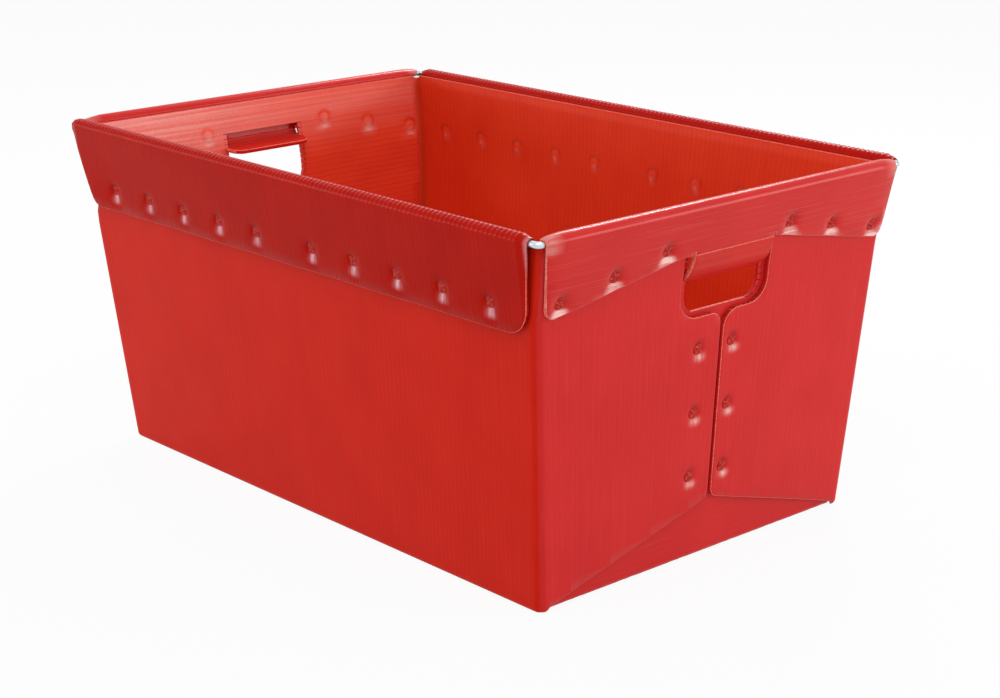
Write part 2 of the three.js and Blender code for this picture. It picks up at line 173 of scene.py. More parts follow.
def cut_at_ribs(loop):
    """Cuts an outline's edges at the ribs they cross. Returns its points, and for each edge the
    flute whose mouth it is, or None."""
    points, mouths = [], []
    for here, there in zip(loop, np.roll(loop, -1, 0)):
        step = there - here
        length = np.hypot(*step)
        if length < 1e-6:
            continue
        crossing = abs(step[0]) > CROSSING * length
        cuts = {0.0}
        if crossing:
            low, high = sorted((here[0], there[0]))
            for k in range(math.floor(low / PITCH) - 1, math.ceil(high / PITCH) + 2):
                for edge in (-RIB / 2, RIB / 2):
                    t = (k * PITCH + edge - here[0]) / step[0]
                    if t * length > NEAREST_CUT and (1 - t) * length > NEAREST_CUT:
                        cuts.add(t)
        elif length > EDGE_STEP:
            parts = math.ceil(length / EDGE_STEP)
            cuts.update(np.arange(1, parts) / parts)
        cuts = sorted(cuts) + [1.0]
        for t, after in zip(cuts, cuts[1:]):
            points.append(here + step * t)
            middle = (here + step * (t + after) / 2)[0]
            flute = math.floor(middle / PITCH)
            inside = min(middle - flute * PITCH, (flute + 1) * PITCH - middle) > RIB / 2
            mouths.append(flute if crossing and inside else None)
    return np.array(points), mouths


def inward(points):
    """Unit normals into the outline at its points, and how far a mitre reaches there."""
    along = np.roll(points, -1, 0) - points
    along /= np.maximum(np.linalg.norm(along, axis=1, keepdims=True), 1e-9)
    left = np.stack([-along[:, 1], along[:, 0]], 1)
    after = np.roll(points, -1, 0)
    area = np.sum(points[:, 0] * after[:, 1] - points[:, 1] * after[:, 0])
    left *= 1 if area > 0 else -1
    both = left + np.roll(left, 1, 0)
    size = np.maximum(np.linalg.norm(both, axis=1, keepdims=True), 0.8)
    return both / size * np.minimum(2 / size, 1.3)


def crossings(loops, a):
    """Sorted places where the line at a crosses the outlines."""
    found = []
    for loop in loops:
        after = np.roll(loop, -1, 0)
        hit = (loop[:, 0] > a) != (after[:, 0] > a)
        here, there = loop[hit], after[hit]
        share = (a - here[:, 0]) / (there[:, 0] - here[:, 0])
        found.append(here[:, 1] + share * (there[:, 1] - here[:, 1]))
    return np.sort(np.concatenate(found))


def within(loops, points):
    """Which points lie inside the outlines."""
    inside = np.zeros(len(points), bool)
    for loop in loops:
        for here, there in zip(loop, np.roll(loop, -1, 0)):
            if here[0] == there[0]:
                continue
            hit = (here[0] > points[:, 0]) != (there[0] > points[:, 0])
            at = here[1] + (points[:, 0] - here[0]) / (there[0] - here[0]) * (there[1] - here[1])
            inside ^= hit & (points[:, 1] < at)
    return inside


def lattice(loops, columns, rows, coarse, keep_fine, margin=0.5):
    """Points inside the outlines: every column at the coarse rows, and all rows where wanted."""
    found = []
    for a in columns:
        sides = [crossings(loops, a + d) for d in (-margin, 0, margin)]
        wanted = coarse | keep_fine(np.full(len(rows), a), rows)
        good = wanted.copy()
        for cross, shift in ((sides[0], 0), (sides[1], -margin), (sides[1], margin), (sides[2], 0)):
            good &= np.searchsorted(cross, rows + shift) % 2 == 1
        found.append(np.stack([np.full(good.sum(), a), rows[good]], 1))
    return np.concatenate(found)


# ---- Sheets ------------------------------------------------------------------------------------

def make_mesh(name, points, faces, materials, face_materials):
    mesh = bpy.data.meshes.new(name)
    mesh.from_pydata((np.asarray(points) * MM).tolist(), [], faces)
    for material in materials:
        mesh.materials.append(material)
    mesh.polygons.foreach_set("material_index", np.asarray(face_materials, np.int32))
    mesh.polygons.foreach_set("use_smooth", np.ones(len(faces), bool))
    mesh.set_sharp_from_angle(angle=math.radians(SHARP_ANGLE))
    piece = bpy.data.objects.new(name, mesh)
    bpy.context.scene.collection.objects.link(piece)
    return piece


def mark(piece, name, values, kind="FLOAT"):
    """Gives each point of a piece a value, or a vector."""
    layer = piece.data.attributes.new(name, kind, "POINT")
    field = "vector" if kind == "FLOAT_VECTOR" else "value"
    layer.data.foreach_set(field, np.asarray(values, np.float32).ravel())


def stand_for(piece, slot, *nodes):
    """Makes a piece part of the fixed body, in place of its CAD nodes."""
    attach(piece, "tote")
    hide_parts(*nodes)


def flute_wave(a, depth=SAG):
    """How far a skin has sunk between the ribs."""
    return depth * (0.5 - 0.5 * np.cos(2 * math.pi * a / PITCH))


def fill(skins, inside):
    """Triangles between the outlines, through the points inside them. Returns all the points, the
    index of each outline point and the triangles."""
    rim = np.concatenate(skins)
    edges, start = [], 0
    for points in skins:
        n = len(points)
        edges += [(start + i, start + (i + 1) % n) for i in range(n)]
        start += n
    squeeze = np.array([4.0, 1.0])
    spots = [Vector(p) for p in np.concatenate([rim, inside]) * squeeze]
    made = delaunay_2d_cdt(spots, edges, [], 0, 1e-5, True)
    where = {}
    for new, olds in enumerate(made[3]):
        for old in olds:
            where.setdefault(old, new)
    flat = np.array([tuple(p) for p in made[0]]) / squeeze
    ring = np.array([where[i] for i in range(len(rim))])
    top = np.array(made[2])
    return flat, ring, top[within(skins, flat[top].mean(1))]


def volume(triangles):
    """Six times the signed volume under triangles."""
    return np.einsum("ij,ij->i", triangles[:, 0], np.cross(triangles[:, 1], triangles[:, 2])).sum()


def make_sheet(name, loops, place, rows, coarse, keep_fine, outer, inner, wear_and_painted_light, materials,
               columns_between=(), turned=False, settle=None, sealed=False):
    """A twin-wall sheet, with open flute mouths where its cut edges cross the flutes unless it is
    sealed. a runs across the flutes and l along them; place(a, l, w) puts a point in space."""
    cut = [cut_at_ribs(loop) for loop in loops]
    if sealed:
        cut = [(points, [None] * len(points)) for points, _ in cut]
    insets = [inward(points) for points, _ in cut]
    skins = [points + normal * BEVEL for (points, _), normal in zip(cut, insets)]
    low = min(points[:, 0].min() for points in skins)
    high = max(points[:, 0].max() for points in skins)
    columns = np.arange(math.floor(low / PITCH) * 4, math.ceil(high / PITCH) * 4 + 1) * PITCH / 4
    columns = np.unique(np.concatenate([columns, columns_between]))
    columns = columns[(columns > low + BEVEL) & (columns < high - BEVEL)]
    flat, ring, top = fill(skins, lattice(skins, columns, rows, coarse, keep_fine))
    count = len(flat)
    w_out, w_in = outer(flat[:, 0], flat[:, 1]), inner(flat[:, 0], flat[:, 1])
    edge = np.concatenate([points for points, _ in cut])
    edge_out = outer(edge[:, 0], edge[:, 1]) - BEVEL
    edge_in = inner(edge[:, 0], edge[:, 1]) + BEVEL
    spots = [np.column_stack([flat, w_out]), np.column_stack([flat, w_in]),
             np.column_stack([edge, edge_out]), np.column_stack([edge, edge_in])]
    up, down = 2 * count, 2 * count + len(edge)
    faces = [tuple(f) for f in top.tolist()] + [tuple(f) for f in (top[:, ::-1] + count).tolist()]
    slots = [SKIN] * len(faces)
    extra, base = [], 2 * count + 2 * len(edge)

    def strip(face, slot):
        faces.append(face)
        slots.append(slot)

    start = 0
    for (points, mouths), normal in zip(cut, insets):
        n = len(points)
        deep = {}
        for i in range(n):
            j = (i + 1) % n
            p, q = start + i, start + j
            step = points[j] - points[i]
            strip((ring[q], ring[p], up + p, up + q), CUT)
            strip((count + ring[p], count + ring[q], down + q, down + p), CUT)
            if mouths[i] is None:
                across = abs(step[0]) > abs(step[1])
                strip((up + q, up + p, down + p, down + q), CUT if across else SKIN)
                continue
            way = np.sign((normal[i] + normal[j])[1]) or 1.0
            for v, k in ((i, p), (j, q)):
                if (v, mouths[i]) not in deep:
                    deep[v, mouths[i]] = base + len(extra)
                    there = points[v] + np.array([0, way * MOUTH_DEPTH])
                    extra.append([*there, edge_out[k]])
                    extra.append([*there, edge_in[k]])
            a, b = deep[i, mouths[i]], deep[j, mouths[i]]
            strip((up + q, up + p, a, b), SKIN)
            strip((down + p, down + q, b + 1, a + 1), SKIN)
            strip((b, a, a + 1, b + 1), SKIN)
            if mouths[i - 1] != mouths[i]:
                strip((up + p, down + p, a + 1, a), SKIN)
            if mouths[j] != mouths[i]:
                strip((down + q, up + q, b, b + 1), SKIN)
        start += n
    if extra:
        spots.append(np.array(extra))
    spots = np.concatenate(spots)
    points = place(spots[:, 0], spots[:, 1], spots[:, 2])
    if turned:
        points = points * HALF_TURN
    if settle is not None:
        points = settle(points)
    if volume(points[top]) < volume(points[top + count]):
        faces = [f[::-1] for f in faces]
    piece = make_mesh(name, points, faces, materials, slots)
    mark(piece, "sheet", spots * MM, "FLOAT_VECTOR")
    mark(piece, "wear_and_painted_light", wear_and_painted_light(spots[:, 0], spots[:, 1]))
    return piece


# ---- Welds -------------------------------------------------------------------------------------

def weld_centres(prefix, turned=False):
    """Centres of the CAD weld buttons whose names start so, in the half that is built."""
    found = []
    for node in sorted(frame["nodes"]):
        if node.startswith(prefix):
            low, high = corners(node)
            middle = (low + high) / 2
            found.append((node, middle * HALF_TURN if turned else middle))
    return found


def nearest(a, l, centres):
    """Offset of each point from the nearest weld."""
    da = a[:, None] - centres[None, :, 0]
    dl = l[:, None] - centres[None, :, 1]
    pick = np.argmin(da * da + dl * dl, 1)
    rows = np.arange(len(a))
    return da[rows, pick], dl[rows, pick]


def crater(across, up, depth, wide=6.2, tall_down=8.5, tall_up=5.2, core=4.9):
    """Depth of a weld's dimple: a broad dent that runs further down than up, and a punched core."""
    tall = np.where(up < 0, tall_down, tall_up)
    spread = np.where(up < 0, wide * (1 + 0.05 * np.clip(-up, 0, 14)), wide)
    broad = np.exp(-((across / spread) ** 2 + (up / tall) ** 2))
    r = np.hypot(across, up)
    punch = 1 - smooth((r - core + 0.5) / 1.3)
    return depth * broad + CORE_DEPTH * punch


def bump(across, up, height, radius=6.2):
    """Height of the knob that a weld pushes out of the far side."""
    r = np.hypot(across, up) / radius
    dome = np.clip(1 - r * r, 0, None) ** 1.5
    dimple = np.exp(-((r * radius / 2.2) ** 2))
    return height * (dome - 0.35 * dimple)


def near_welds(centres, reach=15.0):
    def check(a, l):
        da, dl = nearest(a, l, centres)
        return np.hypot(da, dl) < reach
    return check


def nowhere(a, l):
    """For a sheet that has no welds."""
    return np.zeros(len(a), bool)


# ---- Shader maths ------------------------------------------------------------------------------

class Value:
    """An output of a node, with arithmetic that adds its Math nodes."""

    def __init__(self, paint, socket):
        self.paint = paint
        self.socket = socket

    def _maths(self, operation, first, second):
        return self.paint.node("ShaderNodeMath", {"operation": operation}, {0: first, 1: second})

    def __add__(self, other):
        return self._maths("ADD", self, other)

    __radd__ = __add__

    def __sub__(self, other):
        return self._maths("SUBTRACT", self, other)

    def __rsub__(self, other):
        return self._maths("SUBTRACT", other, self)

    def __mul__(self, other):
        return self._maths("MULTIPLY", self, other)

    __rmul__ = __mul__


class Paint:
    """A material or the world, and its node tree."""

    def __init__(self, owner):
        self.owner = owner
        owner.use_nodes = True
        self.tree = owner.node_tree
        self.tree.nodes.clear()

    def node(self, kind, settings=None, sockets=None, output=0):
        """Adds a node: its settings first, then the values or links of its sockets."""
        made = self.tree.nodes.new(kind)
        for name, value in (settings or {}).items():
            setattr(made, name, value)
        for name, value in (sockets or {}).items():
            if isinstance(value, Value):
                self.tree.links.new(value.socket, made.inputs[name])
            else:
                made.inputs[name].default_value = value
        return Value(self, made.outputs[output]) if len(made.outputs) else None

    def mix(self, share, one, other):
        """Colour from one to other."""
        return self.node("ShaderNodeMix", {"data_type": "RGBA"}, {0: share, 6: one, 7: other}, output=2)

    def bump(self, strength, distance, height):
        return self.node("ShaderNodeBump", {}, {"Strength": strength, "Distance": distance, "Height": height})

    def attribute(self, name, vector=False):
        return self.node("ShaderNodeAttribute", {"attribute_name": name}, output=1 if vector else 2)

    def noise(self, vector, scale, detail=3.0, roughness=0.55, stretch=(1, 1, 1)):
        moved = self.node("ShaderNodeVectorMath", {"operation": "MULTIPLY"},
                          {0: vector, 1: tuple(scale * s for s in stretch)})
        return self.node("ShaderNodeTexNoise", {"noise_dimensions": "3D"},
                         {"Vector": moved, "Scale": 1.0, "Detail": detail, "Roughness": roughness})

    def step(self, value, low, high):
        """0 below low, 1 above high, smooth between."""
        return self.node("ShaderNodeMapRange", {"interpolation_type": "SMOOTHSTEP"},
                         {"Value": value, "From Min": low, "From Max": high})

    def seen_directly(self):
        """1 for rays from the camera and those in gloss or through glass, otherwise 0."""
        seen, shiny, through = (self.node("ShaderNodeLightPath", output=f"Is {kind} Ray")
                                for kind in ("Camera", "Glossy", "Transmission"))
        return self.node("ShaderNodeMath", {"operation": "MINIMUM"}, {0: seen + shiny + through, 1: 1.0})

    def finish(self, shader, output="ShaderNodeOutputMaterial"):
        self.node(output, {}, {"Surface": shader})
        return self.owner


def new_material(name):
    return Paint(bpy.data.materials.new(name))


def linear(r, g, b):
    """Colour from 0-255 display values."""
    return (*((v / 255) ** 2.2 for v in (r, g, b)), 1.0)


# Dark red for painted shade.
PAINTED_SHADE = linear(120, 12, 8)


def moulded_sheet(name, colour, deep, pale, roughness, specular, streak, sheen_lines, inner=None):
    """Twin-wall polypropylene: ribs that show through, draw lines along the flutes, fine grain and handling
    scuffs, with the inside skins in a lighter red as painted light. A mark above 0 pales, as whitening and
    painted highlights, and one below 0 darkens as painted shade."""
    inner = inner or colour
    paint = new_material(name)
    sheet = paint.attribute("sheet", vector=True)
    wear_and_light = paint.attribute("wear_and_painted_light")
    across, depth = (paint.node("ShaderNodeSeparateXYZ", {}, {0: sheet}, output=axis) for axis in "XZ")
    inside = 1 - paint.step(depth, -0.0016, -0.001)
    turns = across * (1000 / PITCH)
    wave = paint.node("ShaderNodeMath", {"operation": "FRACT"}, {0: turns + 0.5})
    off = paint.node("ShaderNodeMath", {"operation": "ABSOLUTE"}, {0: wave - 0.5})
    rib = 1 - paint.step(off, 0.03, 0.13)
    lines = paint.noise(sheet, 1.0, 3.0, 0.6, (900, 9, 0))
    broad = paint.noise(sheet, 1.0, 2.0, 0.5, (28, 11, 0))
    grain = paint.noise(sheet, 2600, 2.0)
    cloud = paint.noise(sheet, 17, 4.0, 0.6)
    scuff = paint.step(paint.noise(sheet, 1.0, 6.0, 0.72, (210, 60, 0)), 0.66, 0.8)
    tone = paint.step(cloud * 0.5 + broad * 0.5, 0.34, 0.68)
    # The inside skins take the lighter inner red: painted light.
    body = paint.mix(tone * 0.7, paint.mix(inside, colour, inner), deep)
    body = paint.mix(inside * 0.6, body, inner)
    body = paint.mix(rib * 0.3, body, deep)
    body = paint.mix(paint.step(lines, 0.52, 0.78) * streak, body, pale)
    body = paint.mix(scuff * 0.03, body, pale)
    torn = paint.step(paint.noise(sheet, 420, 5.0, 0.7), 0.35, 0.7)
    drawn = paint.step(paint.noise(sheet, 1.0, 2.0, 0.5, (330, 3.5, 0)), 0.4, 0.6)
    paled_by_wear_and_light = wear_and_light * (0.3 + torn * 0.2 + paint.step(lines, 0.4, 0.62) * 0.2 + drawn * 0.4)
    # Where the mark is below 0 it lays painted shade; above 0 it pales the sheet, for whitening and for
    # painted highlights.
    body = paint.mix(wear_and_light * -1.0, body, PAINTED_SHADE)
    body = paint.mix(paled_by_wear_and_light, body, pale)
    rough = roughness + (cloud - 0.5) * 0.12 + (lines - 0.5) * sheen_lines + scuff * 0.12
    height = rib * 0.05 + lines * 0.09 + grain * 0.02 + paint.noise(sheet, 330, 3.0) * 0.06
    shader = paint.node("ShaderNodeBsdfPrincipled", {}, {
        "Base Color": body, "Roughness": rough, "Normal": paint.bump(0.55, 0.0006, height),
        "IOR": 1.49, "Specular IOR Level": specular,
    })
    return paint.finish(shader)


def cut_edge_material():
    """Knife-cut edges, paler than the sheet: stress-whitening of the plastic, and a painted highlight along
    the edges.
    """
    paint = new_material("cut_edge")
    sheet = paint.attribute("sheet", vector=True)
    nick = paint.noise(sheet, 700, 4.0, 0.7)
    colour = paint.mix(paint.step(nick, 0.35, 0.7), linear(226, 80, 66), linear(250, 158, 142))
    shader = paint.node("ShaderNodeBsdfPrincipled", {}, {
        "Base Color": colour, "Roughness": 0.45 + nick * 0.2, "Specular IOR Level": 0.3,
        "Normal": paint.bump(0.4, 0.0003, nick),
    })
    return paint.finish(shader)


def melted_plastic():
    """Remelted plastic in a weld: glossy, lumpy, with torn pale specks."""
    paint = new_material("melted_weld")
    place = paint.node("ShaderNodeTexCoord", output=3)
    lump = paint.noise(place, 520, 5.0, 0.65)
    speck = paint.step(paint.noise(place, 900, 3.0, 0.6), 0.58, 0.7)
    raised = paint.attribute("wear_and_painted_light")
    colour = paint.mix(paint.step(lump, 0.3, 0.7), linear(166, 14, 8), linear(208, 34, 20))
    colour = paint.mix(raised * (speck * 0.5 + 0.2), colour, linear(246, 140, 124))
    shader = paint.node("ShaderNodeBsdfPrincipled", {}, {
        "Base Color": colour, "Roughness": 0.16 + lump * 0.2, "Specular IOR Level": 0.2,
        "Normal": paint.bump(0.8, 0.0008, lump),
    })
    return paint.finish(shader)


def drawn_steel():
    """Bright drawn wire with fine lengthwise lines."""
    paint = new_material("drawn_steel")
    sheet = paint.attribute("sheet", vector=True)
    lines = paint.noise(sheet, 1.0, 3.0, 0.6, (2400, 12, 0))
    dull = paint.noise(sheet, 60, 4.0)
    colour = paint.mix(paint.step(dull, 0.4, 0.7), linear(206, 222, 228), linear(158, 182, 192))
    shader = paint.node("ShaderNodeBsdfPrincipled", {}, {
        "Base Color": colour, "Metallic": 1.0, "Roughness": 0.2 + lines * 0.16,
        "Normal": paint.bump(0.3, 0.0002, lines),
    })
    return paint.finish(shader)


# One red plastic is given a different red by kind of face, as painted light: a pinker red on the end panels,
# the flaps facing the ends and the end hems for their painted sheen, a darker red on the long hems for
# painted shade, and a lighter inner red on the inside skins.
wall_red = moulded_sheet(
    "wall_red", linear(210, 36, 14), linear(200, 31, 12), linear(246, 172, 160), inner=linear(222, 66, 36),
    roughness=0.44, specular=0.09, streak=0.035, sheen_lines=0.08)
end_sheen_red = moulded_sheet(
    "end_sheen_red", linear(208, 42, 40), linear(200, 36, 36), linear(252, 206, 198), inner=linear(240, 78, 48),
    roughness=0.38, specular=0.15, streak=0.03, sheen_lines=0.1)
side_hem_shaded_red = moulded_sheet(
    "side_hem_shaded_red", linear(182, 27, 10), linear(170, 20, 9), linear(244, 196, 204),
    roughness=0.28, specular=0.05, streak=0.015, sheen_lines=0.05)
end_hem_sheen_red = moulded_sheet(
    "end_hem_sheen_red", linear(206, 44, 40), linear(196, 37, 36), linear(254, 214, 206),
    roughness=0.26, specular=0.17, streak=0.06, sheen_lines=0.14)
tongue_red = moulded_sheet(
    "tongue_red", linear(208, 42, 34), linear(196, 36, 30), linear(246, 180, 170),
    roughness=0.4, specular=0.08, streak=0.03, sheen_lines=0.1)
cut_edge = cut_edge_material()
melted = melted_plastic()
steel = drawn_steel()

# ---- Long walls with their corner flaps --------------------------------------------------------
FOLD_MID = FOLD_R - SHEET / 2
STRAIGHT = FLAP_X - FOLD_R
FLAP_START = STRAIGHT + FOLD_MID * math.pi / 2
CORNER_Y = WALL_Y - FOLD_R
FLOOR_MID = FLOOR_FOLD_R - SHEET / 2
FLOOR_EDGE = FLOOR_FOLD_R - FLOOR_MID * math.pi / 2
NEAR_SLIT = HANDLE_Y - SLIT_HALF
FAR_SLIT = -HANDLE_Y - SLIT_HALF
NEAR_LENGTH = CORNER_Y + NEAR_SLIT
FAR_LENGTH = CORNER_Y + FAR_SLIT


def foot_fold(z, w):
    """Height, and how far outward, of a wall's point: its foot curls in under the floor fold."""
    turn = np.clip((FLOOR_FOLD_R - z) / FLOOR_MID, 0, math.pi / 2)
    height = np.where(z < FLOOR_FOLD_R, FLOOR_FOLD_R - (FLOOR_MID + w) * np.sin(turn), z)
    out = np.where(z < FLOOR_FOLD_R, (FLOOR_MID + w) * np.cos(turn) - FLOOR_MID, w)
    return height, out


def place_wall(u, z, w):
    """Front wall: u runs along the wall, round the corner folds and on into the flaps."""
    side, reach = np.sign(u), np.abs(u)
    height, out = foot_fold(z, w)
    lx, ly = lean_x(height), lean_y(height)
    x_wall = reach * (1 + lx / STRAIGHT)
    y_wall = -(WALL_Y - SHEET / 2 + out + ly)
    turn = np.clip((reach - STRAIGHT) / FOLD_MID, 0, math.pi / 2)
    cx, cy = STRAIGHT + lx, -CORNER_Y - ly
    x_fold = cx + (FOLD_MID + out) * np.sin(turn)
    y_fold = cy - (FOLD_MID + out) * np.cos(turn)
    length = np.where(side > 0, NEAR_LENGTH, FAR_LENGTH)
    run = reach - FLAP_START
    y_flap = cy + run * (1 + ly / length)
    x = np.select([reach <= STRAIGHT, reach <= FLAP_START], [x_wall, x_fold], cx + FOLD_MID + out)
    y = np.select([reach <= STRAIGHT, reach <= FLAP_START], [y_wall, y_fold], y_flap)
    return np.column_stack([side * x, y, height])


def flap_u(y, z, near):
    """Where a flap's point at real y and z lies along u."""
    length = NEAR_LENGTH if near else FAR_LENGTH
    ly = float(lean_y(z))
    return (1 if near else -1) * (FLAP_START + (y + CORNER_Y + ly) / (1 + ly / length))


def flap_outline(near):
    """Right-hand (near) or left-hand part of the wall's outline, from the wall's foot to its top."""
    slit = NEAR_SLIT if near else FAR_SLIT
    shift = HANDLE_Y if near else -HANDLE_Y
    sign = 1 if near else -1
    hole = shift - HOLE_HALF - FLAP_MARGIN
    foot = HOLE_FOOT - FLAP_LOWER
    toe = SHEET + GAP + 0.6
    return [
        (sign * STRAIGHT, FLOOR_EDGE),
        (sign * (FLAP_START - 1.5), FLOOR_EDGE),
        (sign * (FLAP_START + 2.5), toe),
        (flap_u(slit, FLAP_FOOT, near), FLAP_FOOT, 9),
        (flap_u(slit, foot, near), foot, 10 if near else 14),
        (flap_u(hole, foot, near), foot, HOLE_R + FLAP_MARGIN),
        (flap_u(hole, HOLE_TOP, near), HOLE_TOP),
        (flap_u(slit, HOLE_TOP, near), HOLE_TOP),
        (flap_u(slit, RIM_Z - WIRE_CLEAR, near), RIM_Z - WIRE_CLEAR),
        (sign * (STRAIGHT + 1), RIM_Z - WIRE_CLEAR),
        (sign * (STRAIGHT - 2), RIM_Z),
    ]


def rows_between(low, high, coarse_every, extra=()):
    """Rows at the fine spacing, and which of them count as coarse rows."""
    rows = np.arange(low, high, ROW)
    coarse = np.arange(len(rows)) % coarse_every == 0
    if len(extra):
        rows = np.concatenate([rows, extra])
        coarse = np.concatenate([coarse, np.ones(len(extra), bool)])
    order = np.argsort(rows)
    return rows[order], coarse[order]


def settle_front(points):
    """The front-left corner has been knocked outward, most at the height of the flaps."""
    x, y, z = points.T
    near_left = smooth((-x - 150) / 130)
    near_front = smooth((-y - 60) / 110)
    bow = (4.0 + 4.0 * np.clip(z / 200, 0, 1)) * (1 - smooth((z - 200) / 22))
    moved = points.copy()
    moved[:, 0] -= bow * near_left * near_front
    return moved


def hem_flare(points):
    """The front hem's left end stands away from the wall below the wire."""
    x, _, z = points.T
    end = smooth((-x - 225) / 60)
    low = 1 - smooth((z - 205) / 70)
    moved = points.copy()
    moved[:, 1] -= 4.5 * end * low
    return moved


def sheen_flaps_like_ends(piece):
    """Gives a wall sheet's skins the ends' pinker red, a painted sheen, from the middle of its corner folds.
    """
    place = np.zeros(len(piece.data.vertices) * 3, np.float32)
    piece.data.attributes["sheet"].data.foreach_get("vector", place)
    reach = np.abs(place.reshape(-1, 3)[:, 0]) / MM
    slots = np.zeros(len(piece.data.polygons), np.int32)
    piece.data.polygons.foreach_get("material_index", slots)
    first = np.array([p.vertices[0] for p in piece.data.polygons])
    slots[(slots == SKIN) & (reach[first] > (STRAIGHT + FLAP_START) / 2)] = FLAP_SKIN
    piece.data.polygons.foreach_set("material_index", slots)


def build_wall(side, near_end, far_end, turned):
    hem_welds = [c for _, c in weld_centres(f"{side}_hem_weld", turned)]
    knobs = np.array([(x / (1 + float(lean_x(z)) / STRAIGHT), z) for x, _, z in hem_welds])
    near_slit = [c for _, c in weld_centres(f"{near_end}_slit_weld_a", turned)]
    far_slit = [c * HALF_TURN for _, c in weld_centres(f"{far_end}_slit_weld_b", not turned)]
    dents = [(flap_u(y, z, True), z) for _, y, z in near_slit]
    dents = np.array(dents + [(flap_u(y, z, False), z) for _, y, z in far_slit])
    close = near_welds(np.concatenate([knobs, dents]))

    def keep(a, l):
        return close(a, l) | (l < FOOT_ROWS[-1])

    def outer(a, l):
        da, dl = nearest(a, l, dents)
        dent = crater(da, dl, depth=1.2, wide=5.2, tall_down=6.6, tall_up=4.8, core=4.7)
        return SHEET / 2 - flute_wave(a) - dent

    def inner(a, l):
        da, dl = nearest(a, l, knobs)
        return -SHEET / 2 + flute_wave(a) - bump(da, dl, 2.0, 6.6)

    # Painted light: pale painted highlights below each dent and just below each knob's middle, and painted
    # shade on each dent's upper rim and each knob's upper ring.
    def wear_and_painted_light(a, l):
        da, dl = nearest(a, l, dents)
        low = np.exp(-(((da - 1.5) / 4.0) ** 2 + ((dl + 6.6) / 2.6) ** 2))
        rim = np.exp(-((da / 4.6) ** 2 + ((dl - 5.4) / 2.2) ** 2))
        db, dm = nearest(a, l, knobs)
        knob = np.exp(-(np.hypot(db, dm + 3.5) / 3.0) ** 2)
        ring = np.exp(-((np.hypot(db, dm) - 6.2) / 1.5) ** 2) * smooth((dm + 1) / 5)
        return 0.85 * low - 0.5 * rim + 0.55 * knob - 0.35 * ring

    outline = flap_outline(True) + flap_outline(False)[::-1]
    rows, coarse = rows_between(0.0, RIM_Z, 9, FOOT_ROWS)
    folds = np.arange(STRAIGHT - 1, FLAP_START + 1, BEND_ROW)
    piece = make_sheet(f"{side}_wall_sheet", [rounded(outline)], place_wall, rows, coarse, keep, outer, inner,
                       wear_and_painted_light, [wall_red, cut_edge, end_sheen_red], np.concatenate([folds, -folds]), turned,
                       settle_front if side == "front" else None)
    sheen_flaps_like_ends(piece)
    stand_for(piece, "sheet_plastic", f"{side}_wall_panel", f"{side}_{near_end}_corner_flap",
              f"{side}_{far_end}_corner_flap")


# ---- End panels and floor ----------------------------------------------------------------------

def place_end(z, y, w):
    """End panel: z runs up the panel and y along its flutes."""
    height, out = foot_fold(z, w)
    return np.column_stack([PANEL_X - SHEET / 2 + out + lean_x(height), y, height])


def build_end(end, turned):
    welds = [c for _, c in weld_centres(f"{end}_hem_weld", turned)]
    welds += [c for _, c in weld_centres(f"{end}_slit_weld", turned)]
    knobs = np.array([(z, y) for _, y, z in welds])

    def outer(a, l):
        return SHEET / 2 - flute_wave(a)

    def inner(a, l):
        dz, dy = nearest(a, l, knobs)
        return -SHEET / 2 + flute_wave(a, 0.08) - bump(dy, dz, 2.2, 6.8)

    # Painted light: a pale painted highlight below each knob, painted shade on its upper ring, and a painted
    # sheen that pales the panel above its crease, more so along one side.
    def wear_and_painted_light(a, l):
        dz, dy = nearest(a, l, knobs)
        painted_highlight_patch = np.exp(-(np.hypot(dy, dz + 6) / 4.2) ** 2)
        ring = np.exp(-((np.hypot(dy, dz) - 6.4) / 1.5) ** 2) * smooth((dz + 1) / 5)
        crease = smooth((a - END_CREASE - 2) / 42) * (0.3 + 0.7 * smooth((l + 60) / 200))
        return np.clip(0.95 * painted_highlight_patch + 0.62 * crease - 0.35 * ring, -1, 1)

    foot = CORNER_Y - GAP
    middle, top = foot + SIDE_LEAN, foot + float(lean_y(RIM_Z))
    outline = [(FLOOR_EDGE, -foot), (SIDE_HEM_Z, -middle), (RIM_Z, -top),
               (RIM_Z, top), (SIDE_HEM_Z, middle), (FLOOR_EDGE, foot)]
    left, right = HANDLE_Y - HOLE_HALF, HANDLE_Y + HOLE_HALF
    hole = [(HOLE_FOOT, left, HOLE_R), (HOLE_FOOT, right, HOLE_R), (HOLE_TOP, right), (HOLE_TOP, left)]
    rows, coarse = rows_between(-180.0, 180.0, 9)
    piece = make_sheet(f"{end}_end_sheet", [rounded(outline), rounded(hole)], place_end, rows, coarse,
                       near_welds(knobs, 9.0), outer, inner, wear_and_painted_light, [end_sheen_red, cut_edge], FOOT_ROWS, turned,
                       settle_front if end == "left" else None)
    stand_for(piece, "sheet_plastic", f"{end}_end_panel")


def build_floor():
    """Floor sheet between the folds, its flutes running across the tote."""
    x, y = PANEL_X - FLOOR_FOLD_R, WALL_Y - FLOOR_FOLD_R

    def place(a, l, w):
        return np.column_stack([a, l, SHEET / 2 + w])

    rows, coarse = rows_between(-WALL_Y, WALL_Y, 12)
    piece = make_sheet("floor_sheet", [rounded([(-x, -y), (x, -y), (x, y), (-x, y)])], place, rows, coarse,
                       nowhere, lambda a, l: SHEET / 2 - flute_wave(a),
                       lambda a, l: -SHEET / 2 + flute_wave(a, 0.05), lambda a, l: np.zeros(len(a)),
                       [wall_red, cut_edge], settle=settle_front)
    stand_for(piece, "sheet_plastic", "base_panel")


# ---- Hems --------------------------------------------------------------------------------------
BEND = WIRE_CLEAR + SHEET / 2


